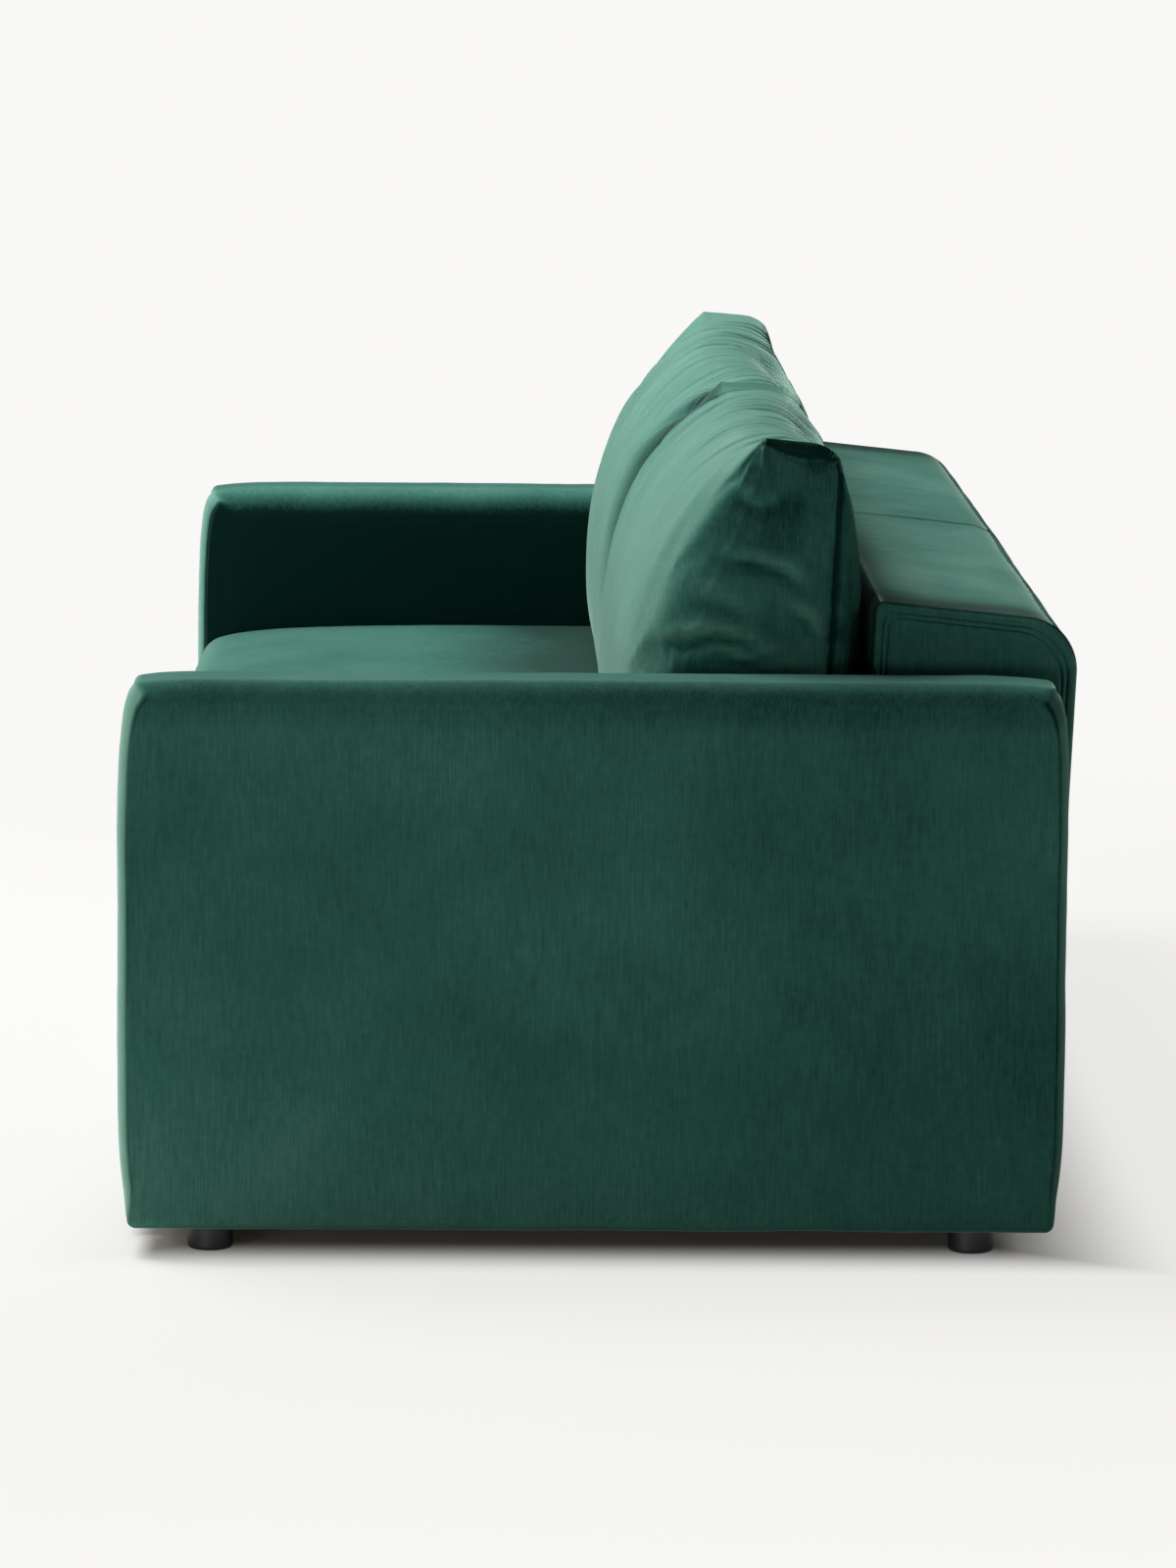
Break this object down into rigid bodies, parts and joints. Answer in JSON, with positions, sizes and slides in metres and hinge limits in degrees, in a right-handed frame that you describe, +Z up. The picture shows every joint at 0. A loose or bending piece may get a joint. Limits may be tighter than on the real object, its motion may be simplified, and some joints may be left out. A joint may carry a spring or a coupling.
{
  "type": "sofa bed",
  "caption": "Velvet sofa bed with padded slab arms and loose back cushions; the seat rolls forward while the back folds down flat behind it.",
  "frame": {"origin": "on the floor, at the middle of the overall width and depth", "axes": "+X to the left of someone sitting in it, +Y to the rear, +Z up"},
  "size_m": [2.2, 1.0633, 0.8862],
  "materials": {
    "velvet": "matte",
    "filling": "matte",
    "dust_cloth": "matte",
    "webbing": "matte",
    "timber": "matte",
    "hardboard": "matte",
    "black_plastic": "satin",
    "nylon": "satin",
    "zinc_steel": "satin"
  },
  "bodies": {
    "base": {"arm_boards": "hardboard", "arm_bolts": "zinc_steel", "base_centre_beam": "timber", "base_floor": "hardboard", "base_front_rail": "timber", "base_middle_rail": "timber", "base_rear_rail": "timber", "bracket_screws": "zinc_steel", "centre_feet": "black_plastic", "foot_studs": "zinc_steel", "frame_screws": "zinc_steel", "left_arm_frame": "timber", "left_arm_upholstery": "velvet", "left_front_foot": "black_plastic", "left_pivot_bracket": "zinc_steel", "left_rear_foot": "black_plastic", "left_runner": "zinc_steel", "left_side_panel": "timber", "pivot_pins": "zinc_steel", "right_arm_frame": "timber", "right_arm_upholstery": "velvet", "right_front_foot": "black_plastic", "right_pivot_bracket": "zinc_steel", "right_rear_foot": "black_plastic", "right_runner": "zinc_steel", "right_side_panel": "timber", "runner_screws": "zinc_steel"},
    "seat": {"seat_upholstery": "velvet", "seat_front_rail": "timber", "seat_rear_rail": "timber", "seat_side_rails": "timber", "seat_cross_rails": "timber", "seat_springs": "zinc_steel", "seat_dust_cloth": "dust_cloth", "apron_board": "timber", "apron_cover": "velvet", "castor_posts": "timber", "castor_forks": "zinc_steel", "castor_axles": "zinc_steel", "left_roller_bracket": "zinc_steel", "right_roller_bracket": "zinc_steel", "roller_axles": "zinc_steel"},
    "back": {"back_upholstery": "velvet", "back_frame": "timber", "back_webbing": "webbing", "left_back_plate": "zinc_steel", "right_back_plate": "zinc_steel", "pivot_bushes": "nylon", "back_plate_screws": "zinc_steel"},
    "left_cushion": {"left_cushion_cover": "velvet", "left_cushion_filling": "filling"},
    "right_cushion": {"right_cushion_cover": "velvet", "right_cushion_filling": "filling"},
    "left_castor_wheel": {"left_castor_wheel": "black_plastic"},
    "left_front_roller": {"left_front_roller": "nylon"},
    "left_rear_roller": {"left_rear_roller": "nylon"},
    "right_castor_wheel": {"right_castor_wheel": "black_plastic"},
    "right_front_roller": {"right_front_roller": "nylon"},
    "right_rear_roller": {"right_rear_roller": "nylon"}
  },
  "joints": [
    {"name": "seat_slide", "type": "slide", "parent": "base", "child": "seat", "axis": [0, -1, 0], "range_m": [0, 0.257]},
    {"name": "back_fold", "type": "hinge", "parent": "base", "child": "back", "pos_m": [0.974, 0.31384, 0.427], "axis": [-1, 0, 0], "range_deg": [0, 87.5]},
    {"name": "left_cushion_lift", "type": "slide", "parent": "seat", "child": "left_cushion", "axis": [0, 0, 1], "range_m": [0, 0.5]},
    {"name": "right_cushion_lift", "type": "slide", "parent": "seat", "child": "right_cushion", "axis": [0, 0, 1], "range_m": [0, 0.5]},
    {"name": "left_castor_wheel_spin", "type": "hinge", "parent": "seat", "child": "left_castor_wheel", "pos_m": [0.7, -0.4695, 0.025], "axis": [1, 0, 0], "continuous": true},
    {"name": "left_front_roller_spin", "type": "hinge", "parent": "seat", "child": "left_front_roller", "pos_m": [0.9495, -0.20832, 0.14], "axis": [1, 0, 0], "continuous": true},
    {"name": "left_rear_roller_spin", "type": "hinge", "parent": "seat", "child": "left_rear_roller", "pos_m": [0.9495, -0.01832, 0.14], "axis": [1, 0, 0], "continuous": true},
    {"name": "right_castor_wheel_spin", "type": "hinge", "parent": "seat", "child": "right_castor_wheel", "pos_m": [-0.7, -0.4695, 0.025], "axis": [1, 0, 0], "continuous": true},
    {"name": "right_front_roller_spin", "type": "hinge", "parent": "seat", "child": "right_front_roller", "pos_m": [-0.9495, -0.20832, 0.14], "axis": [1, 0, 0], "continuous": true},
    {"name": "right_rear_roller_spin", "type": "hinge", "parent": "seat", "child": "right_rear_roller", "pos_m": [-0.9495, -0.01832, 0.14], "axis": [1, 0, 0], "continuous": true}
  ],
  "couplings": [
    {"joint": "back_fold", "follows": "seat_slide", "rad_per_m": 5.9423},
    {"joint": "left_castor_wheel_spin", "follows": "seat_slide", "rad_per_m": 40},
    {"joint": "left_front_roller_spin", "follows": "seat_slide", "rad_per_m": 56.497},
    {"joint": "left_rear_roller_spin", "follows": "seat_slide", "rad_per_m": 56.497},
    {"joint": "right_castor_wheel_spin", "follows": "seat_slide", "rad_per_m": 40},
    {"joint": "right_front_roller_spin", "follows": "seat_slide", "rad_per_m": 56.497},
    {"joint": "right_rear_roller_spin", "follows": "seat_slide", "rad_per_m": 56.497}
  ]
}
